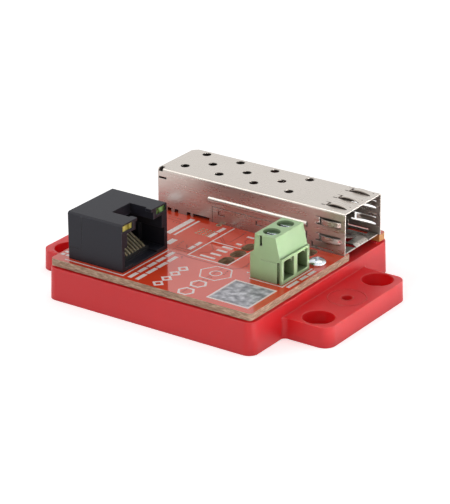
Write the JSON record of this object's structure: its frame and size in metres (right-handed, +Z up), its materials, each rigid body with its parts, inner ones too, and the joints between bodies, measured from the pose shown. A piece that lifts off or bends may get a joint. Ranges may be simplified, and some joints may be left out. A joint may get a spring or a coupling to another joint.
{
  "type": "fibre media converter",
  "caption": "Open-board fibre to copper media converter: circuit board with module cage, network jack and screw terminal on a moulded tray with two screw-mounting ears.",
  "frame": {"origin": "middle of the tray's underside, at the centre of the bounding box in plan", "axes": "+X from the network jack's end to the module cage's mouth, along the line of the two ears; +Y from the jack's side to the cage's side; +Z up out of the board"},
  "size_m": [0.0746, 0.0536, 0.0199],
  "materials": {
    "red_plastic": "semi-matt moulded ABS",
    "solder_mask": "glossy red solder mask on glass-fibre laminate",
    "zinc_steel": "bright zinc plate",
    "nickel_sheet": "nickel-plated spring sheet",
    "black_nylon": "fine-eroded black nylon",
    "connector_black": "black liquid-crystal polymer",
    "gold_contact": "gold flash on phosphor bronze",
    "lamp_yellow": "tinted diffused epoxy",
    "lamp_green": "tinted diffused epoxy",
    "lamp_clear": "clear epoxy",
    "terminal_green": "moulded polyamide",
    "tinned_brass": "tin plate",
    "chip_black": "moulding compound",
    "ceramic_tan": "unglazed ceramic chip",
    "ferrite_grey": "ferrite"
  },
  "bodies": {
    "converter": {"base_tray": "red_plastic", "circuit_board": "solder_mask", "board_screws": "zinc_steel", "sfp_cage_shell": "nickel_sheet", "sfp_cage_floor": "nickel_sheet", "sfp_host_connector": "connector_black", "sfp_host_contacts": "gold_contact", "jack_housing": "black_nylon", "jack_contact_carrier": "connector_black", "jack_contacts": "gold_contact", "jack_led_yellow": "lamp_yellow", "jack_led_green": "lamp_green", "terminal_housing": "terminal_green", "terminal_pin_1": "tinned_brass", "terminal_pin_2": "tinned_brass", "status_leds": "lamp_clear", "ethernet_transformer": "chip_black", "regulator_chip": "chip_black", "converter_chip": "chip_black", "clock_crystal": "ferrite_grey", "input_rectifier": "chip_black", "filter_capacitors": "ceramic_tan", "power_inductor": "ferrite_grey"},
    "clamp_1": {"terminal_clamp_1": "tinned_brass"},
    "clamp_2": {"terminal_clamp_2": "tinned_brass"},
    "screw_1": {"terminal_screw_1": "zinc_steel"},
    "screw_2": {"terminal_screw_2": "zinc_steel"}
  },
  "joints": [
    {"name": "clamp_1_rise", "type": "slide", "parent": "converter", "child": "clamp_1", "axis": [0, 0, 1], "range_m": [0, 0.002]},
    {"name": "screw_1_turn", "type": "hinge", "parent": "converter", "child": "screw_1", "pos_m": [0.0187, -0.00814, 0.018], "axis": [0, 0, -1], "range_deg": [0, 1440.1]},
    {"name": "clamp_2_rise", "type": "slide", "parent": "converter", "child": "clamp_2", "axis": [0, 0, 1], "range_m": [0, 0.002]},
    {"name": "screw_2_turn", "type": "hinge", "parent": "converter", "child": "screw_2", "pos_m": [0.0187, -0.00306, 0.018], "axis": [0, 0, -1], "range_deg": [0, 1440.1]}
  ],
  "couplings": [
    {"joint": "screw_1_turn", "follows": "clamp_1_rise", "rad_per_m": 12566},
    {"joint": "screw_2_turn", "follows": "clamp_2_rise", "rad_per_m": 12566}
  ]
}
